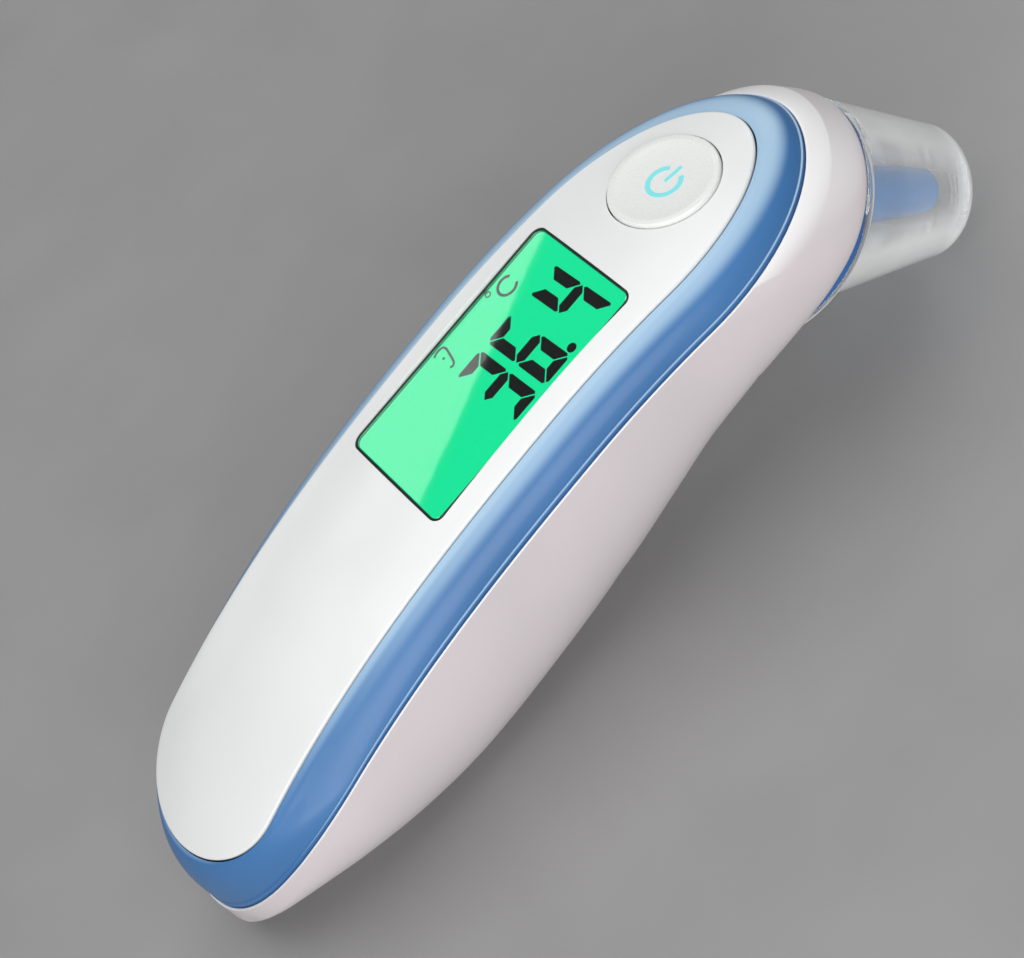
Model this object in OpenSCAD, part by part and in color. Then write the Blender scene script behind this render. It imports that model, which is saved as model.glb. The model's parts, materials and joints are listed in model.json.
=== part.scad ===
// Infrared ear thermometer, lying face up on its back and on the tip of its probe cap.
// The shapes are worked out in a handle frame: X across, Y towards the head, Z out of the display.
// placed() then turns the whole object so that it rests on the ground.

/* [Body] */
// Width of the body across the handle
body_w = 40.8; // [39:0.2:50]
// Length from the display centre to the lower tip
lower_len = 85.2; // [82:0.2:104]
// Length from the display centre to the top of the head
upper_len = 57; // [55:0.5:62]
// Depth of the belly, from the front line of the handle
belly_depth = 41; // [39:0.5:50]
// Depth of the lower tip
tip_depth = 29.5; // [28:0.5:31]
// How far the face bends back at 75 mm below the display
arch_low = 11; // [9:0.5:13]
// How far the face bends back at 47 mm above the display
arch_top = 7.2; // [6:0.2:8.4]
// Fall of the face at its side edges, per square millimetre of half width
crown = 0.0072; // [0.005:0.0002:0.009]
// Wall thickness of the rear shell
wall = 2; // [1.6:0.1:2.4]

/* [Trim band and front panel] */
// Width of the blue band, from the panel edge to its outer edge
band_w = 5.2; // [4.5:0.1:6.5]
// Width of the white rim outside the band
rim_w = 0.6; // [0.4:0.1:1]
// Fall of the band from its inner to its outer edge, at the sides
band_fall = 4.5; // [3.5:0.1:5.5]
// Thickness of the band
band_t = 1.6; // [1.2:0.1:2]
// Thickness of the front panel
panel_t = 1.8; // [1.4:0.1:2.2]
// Visible gap between neighbouring covers
seam = 0.2; // [0.15:0.05:0.3]

/* [Display] */
// Width of the display window
window_w = 22; // [18:0.5:23]
// Length of the display window
window_l = 39.6; // [34:0.2:42]
// Corner radius of the display window
window_r = 1.6; // [1:0.1:3]
// Width of the black frame round the window
bezel_w = 0.6; // [0.4:0.1:0.8]

/* [Power button] */
// Diameter of the power button
button_d = 16.6; // [14:0.2:20]
// Distance of the button from the display centre
button_y = 35.2; // [33:0.2:36]
// Travel of the button
button_travel = 0.6; // [0.4:0.1:0.8]
// Radial clearance of the button in its hole
button_clearance = 0.2; // [0.15:0.05:0.3]

/* [Probe and cap] */
// Angle of the probe axis, from the handle line towards the back
probe_tilt = 54.3; // [52:0.1:57]
// Angle of the head's rear opening, from the handle line towards the back
open_tilt = 76; // [74:0.5:78]
// Radius of the rear opening's rim
open_r = 18.7; // [18:0.1:19.5]
// Length of the clear cap from the cone's reference circle to its tip
cap_len = 30; // [28:0.5:34]
// Outer radius of the cap at the reference circle
cap_r = 15.8; // [15.4:0.1:16]
// Outer radius of the cap near its tip
cap_tip_r = 10.2; // [9.8:0.1:11]
// Wall thickness of the clear cap
cap_wall = 1.8; // [1.4:0.1:2]
// Radius of the probe nose at its base
nose_r = 6.2; // [5.6:0.1:7]
// Radius of the probe nose at its tip
nose_tip_r = 4.4; // [3.8:0.1:4.6]
// Length of the probe nose
nose_len = 25.5; // [23:0.5:26]

/* [Batteries] */
// Diameter of one AAA cell
cell_d = 10.5; // [10.2:0.1:10.5]
// Length of one AAA cell without its button
cell_l = 43.5; // [42:0.5:43.5]
// Clearance round the battery door
door_gap = 0.2; // [0.15:0.05:0.3]

/* [Hidden] */

white = "whitesmoke";
blue = "steelblue";
steps_end = 8;
steps_low = 10;
steps_neck = 3;
steps_wall = 8;
arch_low_at = 75;
arch_low_power = 2.6;
arch_top_at = 47;

// Front line of the handle, seen from the side.
function arch(y) = y < 0 ? -arch_low * pow(-y / arch_low_at, arch_low_power) : -arch_top * pow(y / arch_top_at, 2);
function arch_slope(y) = -2 * arch_top * y / pow(arch_top_at, 2);
function face_z(x, y) = arch(y) - crown * x * x;

// An outline ring is a straight-sided oval that follows the face and drops below it:
// [half width, lower end length, upper end length, lower y, upper y, drop at side, bottom, top].
panel_half = body_w / 2 - rim_w - band_w;
band_half = body_w / 2 - rim_w;
panel_ring = [panel_half, 13, 25.6, -lower_len + 6.2, upper_len - 8.4, 0, 0, 0];
band_in_ring = [panel_half + seam, 13, 25.6, -lower_len + 6, upper_len - 8.2, 0.5, 0.6, 0.5];
band_out_ring = [band_half, 30, 31, -lower_len + 1.2, upper_len - 3, band_fall, 10.5, 2.6];
shell_in_ring = [band_half + seam, 30, 31, -lower_len + 1, upper_len - 2.8, band_fall, 10.6, 2.6];
crease_ring = [body_w / 2, 31, 28, -lower_len, upper_len, 7, 14.5, 3.2];
inner_ring = [body_w / 2 - wall, 31 - wall / 2, 28 - wall / 2, wall - lower_len, upper_len - wall, 7, 14.5, 5.4];
ledge_ring = [body_w / 2 - wall, 31 - wall / 2, 28 - wall / 2, wall - lower_len, upper_len - wall,
  band_fall + band_t + 0.2, 12.6, 4.6];

// Rear opening of the head: a circle in a tilted plane.
open_y = upper_len - 15.6;
open_z = -23.4;
open_up = [0, sin(open_tilt), cos(open_tilt)];
open_out = [0, cos(open_tilt), -sin(open_tilt)];
function open_point(r, a) = [0, open_y, open_z] + r * (cos(a) * [1, 0, 0] + sin(a) * open_up);
neck_y = open_y - open_r * sin(open_tilt);
neck_z = open_z - open_r * cos(open_tilt);

// Stations round the right half of a ring, from the lower tip to the top:
// [width factor, end factor from -1 to 1, share of the straight side]. One lies level with the neck.
neck_share = (neck_y - low_y(crease_ring)) / (high_y(crease_ring) - low_y(crease_ring));
stations = concat(
  [for (i = [0 : steps_end]) let (a = -90 + 90 * i / steps_end) [cos(a), sin(a), 0]],
  [for (i = [1 : steps_low]) [1, 0, neck_share * i / steps_low]],
  [for (i = [1 : steps_neck]) [1, 0, neck_share + (1 - neck_share) * i / steps_neck]],
  [for (i = [1 : steps_end]) let (a = 90 * i / steps_end) [cos(a), sin(a), 1]]);
last = len(stations) - 1;
neck_station = steps_end + steps_low;

function low_y(r) = r[3] + r[1];
function high_y(r) = r[4] - r[2];
function ring_y(r, s) = s[1] < 0 ? low_y(r) + r[1] * s[1]
  : low_y(r) + (high_y(r) - low_y(r)) * s[2] + r[2] * s[1];
function ring_drop(r, s) = let (e = s[1] * s[1]) r[5] + ((s[1] < 0 ? r[6] : r[7]) - r[5]) * e;
function ring_point(r, s) = let (x = r[0] * s[0], y = ring_y(r, s)) [x, y, face_z(x, y) - ring_drop(r, s)];
function flip(p) = [-p[0], p[1], p[2]];

// Back line of the handle, from the lower tip to the neck.
back_line = [[-lower_len + 1.7, -tip_depth], [-lower_len + 13, -tip_depth - 0.7],
  [-lower_len + 23, -tip_depth - 5], [-lower_len + 35, -belly_depth + 1.7], [-lower_len + 45, -belly_depth],
  [-lower_len + 60, -belly_depth + 0.7], [-10, -belly_depth + 3], [3, -belly_depth + 7.5],
  [13, neck_z - 1.8], [neck_y, neck_z]];
squareness = [[-lower_len, 2.2], [-45, 2.5], [-10, 2.7], [3, 3.2], [13, 3.7], [neck_y, 4.4]];

// Smooth curve through points [y, value].
function slope_at(p, i) = let (a = max(i - 1, 0), b = min(i + 1, len(p) - 1))
  (p[b][1] - p[a][1]) / (p[b][0] - p[a][0]);
function piece_at(p, y, i = 0) = i >= len(p) - 2 || y <= p[i + 1][0] ? i : piece_at(p, y, i + 1);
function smooth(p, y) = let (i = piece_at(p, y), h = p[i + 1][0] - p[i][0], t = (y - p[i][0]) / h,
    t2 = t * t, t3 = t2 * t)
  (2 * t3 - 3 * t2 + 1) * p[i][1] + (t3 - 2 * t2 + t) * h * slope_at(p, i)
  + (3 * t2 - 2 * t3) * p[i + 1][1] + (t3 - t2) * h * slope_at(p, i + 1);

// Side wall of the shell at station i: from the crease at v = 0 to the back line or the opening at v = 90.
// inset moves its end inwards by the wall thickness.
side_top = high_y(crease_ring);
function ridge_point(y, inset) =
  let (low = -lower_len + 1.7, yb = low + (neck_y - low) * (y + lower_len) / (neck_y + lower_len),
    near_tip = max(0, 1 - (yb - low) / 10), near_neck = max(0, 1 - (neck_y - yb) / 8))
  [0, yb + inset * (near_tip + near_neck * sin(open_tilt)),
    smooth(back_line, yb) + inset * (1 - near_neck * (1 - cos(open_tilt)))];
function wall_end(i, inset) =
  let (s = stations[i], y = ring_y(crease_ring, s))
  s[1] > 0 ? open_point(open_r - inset, atan2(s[1], s[0]))
  : i > neck_station ? open_point(open_r - inset, -90 * (side_top - y) / (side_top - neck_y))
  : ridge_point(y, inset);
function wall_power(i) =
  let (s = stations[i], y = ring_y(crease_ring, s))
  s[1] > 0 ? 2.2 : i > neck_station ? 2.2 + 2.2 * (side_top - y) / (side_top - neck_y)
  : lookup(y, squareness);
function wall_point(i, v, inset) =
  let (e = ring_point(inset > 0 ? inner_ring : crease_ring, stations[i]), b = wall_end(i, inset),
    n = wall_power(i), c = pow(abs(cos(v)), 2 / n), k = 1 - pow(abs(sin(v)), 2 / n))
  [b[0] + (e[0] - b[0]) * c, b[1] + (e[1] - b[1]) * k, b[2] + (e[2] - b[2]) * k];

// The whole object is turned about X and lifted, so that the cap tip and the belly touch the ground.
cone_y = upper_len - 11.7;
cone_z = -25.1;
cone_out = [0, cos(probe_tilt), -sin(probe_tilt)];
cone_up = [0, sin(probe_tilt), cos(probe_tilt)];
tip_round = 3.4;
tip_mid = [0, cone_y, cone_z] + cone_out * (cap_len - tip_round);
tip_ring = tip_mid - cone_up * (cap_tip_r - tip_round);
tip_end = tip_mid + cone_up * (cap_tip_r - tip_round);
function turned_y(p, t) = p[1] * cos(t) - p[2] * sin(t);
function turned_z(p, t) = p[1] * sin(t) + p[2] * cos(t);
ridge_points = [for (i = [0 : neck_station]) wall_point(i, 90, 0)];
tip_points = [for (v = [0 : 15 : 90]) wall_point(0, v, 0)];
function belly_low(t) = min([for (p = ridge_points) turned_z(p, t)]);
function cap_low(t) = turned_z(tip_ring, t) - tip_round;
function level(a, b, n) = let (t = (a + b) / 2) n == 0 ? t
  : cap_low(t) < belly_low(t) ? level(t, b, n - 1) : level(a, t, n - 1);
rest_tilt = level(0, 15, 30);
low_z = belly_low(rest_tilt);
min_y = min([for (p = tip_points) turned_y(p, rest_tilt)]);
max_y = turned_y(tip_end, rest_tilt) + tip_round;
module placed() translate([0, -(min_y + max_y) / 2, -low_z]) rotate([rest_tilt, 0, 0]) children();
module at_opening() translate([0, open_y, open_z]) rotate([270 - open_tilt, 0, 0]) children();
module at_cone() translate([0, cone_y, cone_z]) rotate([270 - probe_tilt, 0, 0]) children();
module at_button() translate([0, button_y, arch(button_y)]) rotate([atan(arch_slope(button_y)), 0, 0]) children();

// Closed loop of stations: the right side upwards, then the left side downwards.
function loop_of(half) = concat(half, [for (i = [last - 1 : -1 : 1]) [for (p = half[i]) flip(p)]]);

// Solid ring whose cross-section at station i is the closed list of points sections[i].
module ring_solid(sections) {
  n = len(sections);
  m = len(sections[0]);
  points = [for (s = sections) each s];
  faces = [for (i = [0 : n - 1], j = [0 : m - 1])
    [i * m + j, ((i + 1) % n) * m + j, ((i + 1) % n) * m + (j + 1) % m, i * m + (j + 1) % m]];
  polyhedron(points, faces, convexity = 6);
}

// Slab between two faces over the inside of a ring, in rows from left to right.
module face_slab(r, top, bottom, columns = 10) {
  rows = [for (i = [1 : last - 1]) ring_point(r, stations[i])];
  n = len(rows);
  m = columns + 1;
  function grid(drop) = [for (p = rows, j = [0 : columns])
    let (x = p[0] * (2 * j / columns - 1)) [x, p[1], face_z(x, p[1]) - drop]];
  function cell(i, j, o) = [o + i * m + j, o + i * m + j + 1, o + (i + 1) * m + j + 1, o + (i + 1) * m + j];
  function back(f) = [f[3], f[2], f[1], f[0]];
  total = n * m;
  points = concat(grid(top), grid(bottom));
  tops = [for (i = [0 : n - 2], j = [0 : columns - 1]) back(cell(i, j, 0))];
  bottoms = [for (i = [0 : n - 2], j = [0 : columns - 1]) cell(i, j, total)];
  lefts = [for (i = [0 : n - 2]) [i * m, i * m + total, (i + 1) * m + total, (i + 1) * m]];
  rights = [for (i = [0 : n - 2]) let (k = i * m + columns) [k, k + m, k + m + total, k + total]];
  lows = [for (j = [0 : columns - 1]) [j, j + 1, j + 1 + total, j + total]];
  highs = [for (j = [0 : columns - 1]) let (k = (n - 1) * m + j) [k, k + total, k + 1 + total, k + 1]];
  polyhedron(points, concat(tops, bottoms, lefts, rights, lows, highs), convexity = 4);
}

// Upright prism with rounded corners, centred on X.
module rounded_prism(w, l, r, z0, z1) {
  translate([0, 0, z0]) linear_extrude(z1 - z0) union() {
    square([w, l - 2 * r], center = true);
    square([w - 2 * r, l], center = true);
    for (x = [-1, 1], y = [-1, 1]) translate([x * (w / 2 - r), y * (l / 2 - r)]) circle(r, $fn = 24);
  }
}

// Closed wall of the rear shell: section points run over the rim, down the outside and back up the inside.
// Below the neck the two sides meet on the back line, so their end points are shared there.
module shell_wall() {
  v_steps = [for (j = [0 : steps_wall]) 90 * j / steps_wall];
  half = [for (i = [0 : last]) let (s = stations[i]) concat(
    [ring_point(shell_in_ring, s)], [for (v = v_steps) wall_point(i, v, 0)],
    [for (j = [steps_wall : -1 : 0]) wall_point(i, v_steps[j], wall)], [ring_point(ledge_ring, s),
      ring_point([for (k = [0 : 7]) k < 5 ? shell_in_ring[k] : ledge_ring[k]], s)])];
  sections = loop_of(half);
  n = len(sections);
  m = len(half[0]);
  outer_end = steps_wall + 1;
  function shared(i, j) = i > last && n - i <= neck_station && (j == outer_end || j == outer_end + 1);
  function at(i, j) = let (k = i % n) (shared(k, j) ? n - k : k) * m + j % m;
  function open_side(i) = min(i, n - 1 - i) >= neck_station;
  faces = [for (i = [0 : n - 1], j = [0 : m - 1])
    if (j != outer_end || open_side(i)) [at(i, j), at(i + 1, j), at(i + 1, j + 1), at(i, j + 1)]];
  polyhedron([for (s = sections) each s], faces, convexity = 10);
}

// Places inside the body.
display_low = arch(-window_l / 2);
display_high = arch(window_l / 2);
display_tilt = atan((display_high - display_low) / window_l);
module at_display() translate([0, 0, (display_low + display_high) / 2]) rotate([display_tilt, 0, 0]) children();
module cut_out(grow) {
  at_display() rounded_prism(window_w + 2 * grow, window_l + 2 * grow, window_r + grow, -30, 5);
}
door_y0 = -lower_len + 8;
door_y1 = -lower_len + 56;
door_w = 23;
module door_prism(grow) {
  translate([0, (door_y0 + door_y1) / 2, 0])
    rounded_prism(door_w + 2 * grow, door_y1 - door_y0 + 2 * grow, 4, -60, -22);
}
window_z = -crown * pow(window_w / 2, 2);
cell_y = -lower_len + 17;
cell_z = -21.4;
cell_x = cell_d / 2 + 0.4;
board_top = -8.8;
board_t = 1.2;
screw_places = [[-10.5, -26], [10.5, -26], [-10.5, 24.5], [10.5, 24.5]];
collar_h = 1;
plug_h = 1.5;
base_r = open_r - wall - 1.7;
cap_gap = 0.1;
flange_h = 1;
nose_bore = nose_tip_r - 0.9;

module rear_shell() {
  color(white) placed() difference() {
    shell_wall();
    door_prism(door_gap);
  }
}

module battery_door() {
  color(white) placed() intersection() {
    shell_wall();
    door_prism(0);
  }
}

module trim_band() {
  bulge_x = 0.83;
  bulge_z = 0.17;
  function band_point(i, t, drop) = let (a = ring_point(band_in_ring, stations[i]),
      b = ring_point(band_out_ring, stations[i]),
      c = [a[0] + (b[0] - a[0]) * bulge_x, a[1] + (b[1] - a[1]) * bulge_x, a[2] + (b[2] - a[2]) * bulge_z])
    (1 - t) * (1 - t) * a + 2 * t * (1 - t) * c + t * t * b - [0, 0, drop];
  half = [for (i = [0 : last]) concat([for (t = [0 : 0.2 : 1]) band_point(i, t, 0)],
    [for (t = [1 : -0.25 : 0]) band_point(i, t, band_t)])];
  color(blue) placed() ring_solid(loop_of(half));
}

module front_panel() {
  color(white) placed() union() {
    difference() {
      face_slab(panel_ring, 0, panel_t);
      cut_out(bezel_w);
      at_button() translate([0, 0, -5]) cylinder(r = button_d / 2 + button_clearance, h = 10, $fn = 48);
    }
    at_display() for (p = screw_places) translate([p[0], p[1], board_top]) difference() {
      cylinder(r = 2, h = -board_top - 2.8, $fn = 24);
      translate([0, 0, -1]) cylinder(r = 0.95, h = 5, $fn = 24);
    }
  }
}

module window_gasket() {
  color("black") placed() difference() {
    intersection() {
      face_slab(panel_ring, 0, 3.4);
      cut_out(bezel_w - 0.05);
    }
    cut_out(0);
  }
}

// The window is flat: its long edges lie flush with the crowned panel.
module lcd_window() {
  color("palegreen", 0.5) placed() at_display()
    rounded_prism(window_w - 0.1, window_l - 0.1, window_r - 0.05, window_z - 0.35, window_z);
}

module button_profile() {
  rotate_extrude($fn = 48) polygon([[0, -0.1], [button_d / 2 - 1.6, -0.1], [button_d / 2 - 1, 0.2],
    [button_d / 2 - 0.4, 0.2], [button_d / 2, -0.2], [button_d / 2, -2.6], [button_d / 2 + 1, -2.6],
    [button_d / 2 + 1, -3.4], [2.2, -3.4], [2.2, -4.6], [0, -4.6]]);
}

module power_button() {
  color(white) placed() at_button() button_profile();
}

module button_symbol() {
  color("paleturquoise") placed() at_button() translate([0.4, -0.1, -0.1]) linear_extrude(0.12) {
    difference() {
      circle(2.75, $fn = 48);
      circle(2.15, $fn = 48);
      polygon([[0, 0], [-3, 5], [3, 5]]);
    }
    translate([-0.3, 0]) square([0.6, 3.2]);
  }
}

module probe_collar() {
  color(blue) placed() at_opening() rotate_extrude($fn = 64) polygon([[open_r - wall - 0.8, -plug_h],
    [open_r - wall - 0.8, 0.05], [open_r - 0.3, 0.05], [open_r - 0.3, collar_h], [base_r + 0.1, collar_h],
    [base_r + 0.1, -plug_h]]);
}

module probe_base() {
  color(white) placed() difference() {
    at_opening() union() {
      translate([0, 0, -plug_h]) cylinder(r = base_r, h = collar_h + plug_h, $fn = 64);
      for (x = [-1, 1]) translate([x * 12, 0, -5]) cylinder(r = 2, h = 4, $fn = 24);
    }
    at_opening() for (x = [-1, 1]) translate([x * 12, 0, -6]) cylinder(r = 0.95, h = 5.5, $fn = 24);
    at_cone() translate([0, 0, -12]) cylinder(r = nose_r - 1.2, h = 20, $fn = 48);
  }
}

// Taper of the nose: it starts at the base plate and runs along the cap's axis.
nose_start = -1.6;
module probe_nose() {
  color(blue) placed() difference() {
    intersection() {
      at_cone() rotate_extrude($fn = 48) polygon([[0, -8], [nose_r + 0.8, -8], [nose_r + 0.3, nose_start],
        [nose_tip_r, nose_len - 0.8], [nose_tip_r - 0.7, nose_len], [0, nose_len]]);
      at_opening() translate([0, 0, collar_h + 0.02]) cylinder(r = 30, h = 60, $fn = 32);
    }
    at_cone() translate([0, 0, -10]) cylinder(r = nose_bore, h = 40, $fn = 40);
  }
}

module probe_window() {
  color("dimgray") placed() at_cone() translate([0, 0, nose_len - 1.4]) cylinder(r = nose_bore - 0.05, h = 1, $fn = 40);
}

module waveguide_tube() {
  color("gold") placed() at_cone() translate([0, 0, nose_len - 9.6]) difference() {
    cylinder(r = nose_bore - 0.1, h = 8, $fn = 40);
    translate([0, 0, -1]) cylinder(r = nose_bore - 0.6, h = 10, $fn = 40);
  }
}

module sensor_can() {
  color("silver") placed() at_cone() translate([0, 0, nose_len - 13]) union() {
    cylinder(r = nose_bore - 0.6, h = 3, $fn = 32);
    for (a = [45 : 90 : 315]) rotate(a) translate([1.2, 0, -3]) cylinder(r = 0.25, h = 3.2, $fn = 16);
  }
}

module sensor_sleeve() {
  color("darkgray") placed() at_cone() translate([0, 0, nose_len - 16]) difference() {
    cylinder(r = nose_bore - 0.1, h = 6, $fn = 40);
    translate([0, 0, -1]) cylinder(r = nose_bore - 0.5, h = 8, $fn = 40);
  }
}

module sensor_ribbon() {
  run = nose_len;
  color("orange") placed() at_cone() translate([-1.8, -0.1, nose_len - 16 - run]) cube([3.6, 0.2, run - 0.2]);
}

module probe_cap() {
  inner_tip = cap_len - 2;
  inner_r = cap_tip_r - cap_wall - 2;
  a_steps = [0 : 15 : 90];
  color("white", 0.35) placed() difference() {
    union() {
      intersection() {
        at_cone() rotate_extrude($fn = 64) polygon(concat([[0, -14], [cap_r + 14 * (cap_r - cap_tip_r) / cap_len, -14]],
          [for (a = a_steps) [cap_tip_r - tip_round + tip_round * cos(a), cap_len - tip_round + tip_round * sin(a)]],
          [[0, cap_len]]));
        at_opening() translate([0, 0, collar_h + cap_gap]) cylinder(r = 40, h = 80, $fn = 32);
      }
      at_opening() translate([0, 0, collar_h + cap_gap]) cylinder(r = open_r - 0.5, h = flange_h, $fn = 64);
    }
    at_cone() rotate_extrude($fn = 64) polygon(concat([[0, -16], [cap_r - cap_wall + 16 * 0.24, -16]],
      [for (a = a_steps) [inner_r - 4 + 4 * cos(a), inner_tip - 4 + 4 * sin(a)]], [[0, inner_tip]]));
  }
}

module battery_tray() {
  l = cell_l + 7;
  w = 2 * cell_d + 3.6;
  color(white) placed() translate([0, cell_y - 3.5, 0]) difference() {
    translate([-w / 2, 0, cell_z - 2.6]) cube([w, l, cell_d / 2 + 4]);
    for (x = [-1, 1]) translate([x * cell_x, 1.4, cell_z]) rotate([-90, 0, 0])
      cylinder(r = cell_d / 2 + 0.15, h = l - 2.8, $fn = 40);
    translate([-w / 2 + 1.2, 1.4, cell_z - 10]) cube([w - 2.4, l - 2.8, 10]);
  }
}

// One AAA cell, with its raised positive end at the side given by way.
module cell(x, way) {
  color("seagreen") placed() translate([x, cell_y + cell_l / 2, cell_z]) rotate([-90 * way, 0, 0])
    rotate_extrude($fn = 40) polygon([[0, -cell_l / 2], [cell_d / 2 - 0.5, -cell_l / 2],
      [cell_d / 2, -cell_l / 2 + 0.5], [cell_d / 2, cell_l / 2 - 0.5], [cell_d / 2 - 0.5, cell_l / 2],
      [1.9, cell_l / 2], [1.9, cell_l / 2 + 0.8], [0, cell_l / 2 + 0.8]]);
}
module left_cell() {
  cell(-cell_x, 1);
}
module right_cell() {
  cell(cell_x, -1);
}

// Conical coil that rises from radius r0 to r1 over height h, in wire of radius w.
module coil(r0, r1, h, turns, w) {
  steps = 18 * turns;
  function at(k, a) = let (t = k / steps, r = r0 + (r1 - r0) * t + w * cos(a), b = 360 * turns * t)
    [r * cos(b), r * sin(b), w + (h - 2 * w) * t + w * sin(a)];
  points = [for (k = [0 : steps], a = [0 : 60 : 300]) at(k, a)];
  sides = [for (k = [0 : steps - 1], j = [0 : 5])
    [k * 6 + j, k * 6 + (j + 1) % 6, (k + 1) * 6 + (j + 1) % 6, (k + 1) * 6 + j]];
  polyhedron(points, concat(sides, [[5, 4, 3, 2, 1, 0], [for (j = [0 : 5]) steps * 6 + j]]), convexity = 8);
}

// Springs press on the flat ends, plates carry the current at the other ends.
module contact_springs() {
  color("silver") placed() for (way = [-1, 1])
    translate([way * cell_x, cell_y + cell_l / 2 + way * (cell_l / 2 + 0.1), cell_z]) rotate([-90 * way, 0, 0])
      coil(3.4, 1.8, 1.5, 2.5, 0.25);
}

module contact_plates() {
  color("silver") placed() for (way = [-1, 1], x = [-1, 1])
    translate([x * cell_x, cell_y + cell_l / 2 + way * (cell_l / 2 + 1.9), cell_z]) rotate([90, 0, 0])
      cylinder(r = 3.6, h = 0.25, center = true, $fn = 32);
}

module main_board() {
  color("darkgreen") placed() at_display() translate([0, 0, board_top - board_t]) linear_extrude(board_t) difference() {
    union() {
      translate([-13, -29]) square([26, 57]);
      translate([0, button_y]) circle(9.5, $fn = 48);
    }
    for (p = screw_places) translate(p) circle(1.2, $fn = 24);
  }
}

module lcd_cell() {
  color("darkseagreen") placed() at_display() rounded_prism(window_w - 0.4, window_l - 0.4,
    window_r - 0.2, window_z - 1.9, window_z - 0.5);
}

// Seven-segment figures that read along the handle, with the degree sign and the ear mark.
module segment(l) {
  polygon([[0, 0], [0.8, 0.8], [l - 0.8, 0.8], [l, 0], [l - 0.8, -0.8], [0.8, -0.8]]);
}
module figure(w, h, lit) {
  places = [[0.3, h, 0, w], [w + 0.3, h / 2 + 0.2, 90, h / 2 - 0.4], [w + 0.3, 0.2, 90, h / 2 - 0.4], [0.3, 0, 0, w],
    [0, 0.2, 90, h / 2 - 0.4], [0, h / 2 + 0.2, 90, h / 2 - 0.4], [0.3, h / 2, 0, w]];
  for (k = lit) translate([places[k][0], places[k][1]]) rotate(places[k][2]) segment(places[k][3] - 0.2);
}
module lcd_segments() {
  color("black") placed() at_display() translate([0, 0, window_z - 0.49]) rotate(90) linear_extrude(0.08) {
    translate([-3, -9.1]) figure(4.6, 13, [0, 1, 2, 3, 6]);
    translate([3.2, -9.1]) figure(4.6, 13, [0, 2, 3, 4, 5, 6]);
    translate([12, -9.1]) figure(4.6, 13, [1, 2, 5, 6]);
    translate([10, -8.8]) circle(0.8, $fn = 24);
  }
}

module backlight() {
  color("springgreen") placed() at_display() translate([-window_w / 2 + 0.2, -window_l / 2 + 2.6, -4.9])
    cube([window_w - 0.4, window_l - 5.2, 2]);
}

module lcd_frame() {
  color("gainsboro") placed() at_display() difference() {
    rounded_prism(window_w + 2.4, window_l + 2.4, 2, board_top + 0.05, -4.6);
    rounded_prism(window_w - 0.2, window_l - 0.2, 0.6, -20, 0);
  }
}

module zebra_strips() {
  color("dimgray") placed() at_display() for (y = [-1, 1])
    translate([-window_w / 2 + 1, y * (window_l / 2 - 1.2) - 0.9, board_top + 0.05]) cube([window_w - 2, 1.8, -board_top - 2.9]);
}

module dome_switch() {
  color("silver") placed() at_display() translate([0, button_y + 0.6, board_top]) rotate_extrude($fn = 32)
    polygon([[0, 0.02], [2.6, 0.02], [2.2, 0.4], [1, 0.5], [0, 0.5]]);
}

module controller_chip() {
  color("dimgray") placed() at_display() translate([-8, 2, board_top - board_t - 1.1]) cube([7, 7, 1.05]);
}

module buzzer() {
  color("black") placed() at_display() translate([4, 16, board_top - board_t - 2.3]) difference() {
    cylinder(r = 4.5, h = 2.25, $fn = 40);
    translate([0, 0, -1]) cylinder(r = 0.8, h = 1.8, $fn = 24);
  }
}

// A pan-head screw with its head at z = 0, pointing up.
module screw(l) {
  translate([0, 0, -1.2]) cylinder(r = 1.7, h = 1.2, $fn = 24);
  cylinder(r = 0.85, h = l, $fn = 24);
}
module board_screws() {
  color("silver") placed() at_display() for (p = screw_places)
    translate([p[0], p[1], board_top - board_t - 0.05]) screw(4);
}

module base_screws() {
  color("silver") placed() at_opening() for (x = [-1, 1]) translate([x * 12, 0, -5.05]) screw(4);
}

rear_shell();
trim_band();
front_panel();
window_gasket();
lcd_window();
power_button();
button_symbol();
probe_collar();
probe_base();
probe_nose();
probe_window();
probe_cap();
battery_door();
battery_tray();
left_cell();
right_cell();
contact_springs();
contact_plates();
main_board();
lcd_cell();
lcd_segments();
backlight();
lcd_frame();
zebra_strips();
dome_switch();
controller_chip();
buzzer();
sensor_sleeve();
sensor_can();
waveguide_tube();
sensor_ribbon();
board_screws();
base_screws();
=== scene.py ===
# %% [markdown]
# # An infrared ear thermometer, built round its CAD frame
# The CAD model holds the sizes, the joints and the inner parts. This script gives the outside its looks:
# smooth moulded shells, a satin blue band, a lit display and a clear cap. Each visible shell is a grid of
# quads worked out from a few outline rings, so that highlights run over it without facets.

# %% The frame
import json
import math

import bmesh
import bpy
import numpy as np
from mathutils import Matrix, Vector


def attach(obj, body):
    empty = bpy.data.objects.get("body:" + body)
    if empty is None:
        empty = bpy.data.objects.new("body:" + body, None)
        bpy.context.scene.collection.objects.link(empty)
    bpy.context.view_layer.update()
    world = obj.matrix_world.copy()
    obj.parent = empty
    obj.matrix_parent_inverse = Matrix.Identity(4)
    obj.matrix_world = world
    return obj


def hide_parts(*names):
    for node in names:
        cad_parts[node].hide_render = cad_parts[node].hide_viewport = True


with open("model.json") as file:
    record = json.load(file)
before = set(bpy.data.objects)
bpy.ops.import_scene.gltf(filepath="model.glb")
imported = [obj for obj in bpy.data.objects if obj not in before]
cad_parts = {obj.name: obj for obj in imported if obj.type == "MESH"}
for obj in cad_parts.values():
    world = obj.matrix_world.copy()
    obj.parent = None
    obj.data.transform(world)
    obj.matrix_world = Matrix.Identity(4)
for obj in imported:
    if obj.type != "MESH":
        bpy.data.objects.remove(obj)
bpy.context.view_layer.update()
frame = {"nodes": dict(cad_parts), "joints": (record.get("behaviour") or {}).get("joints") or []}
MM = 0.001

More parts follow.
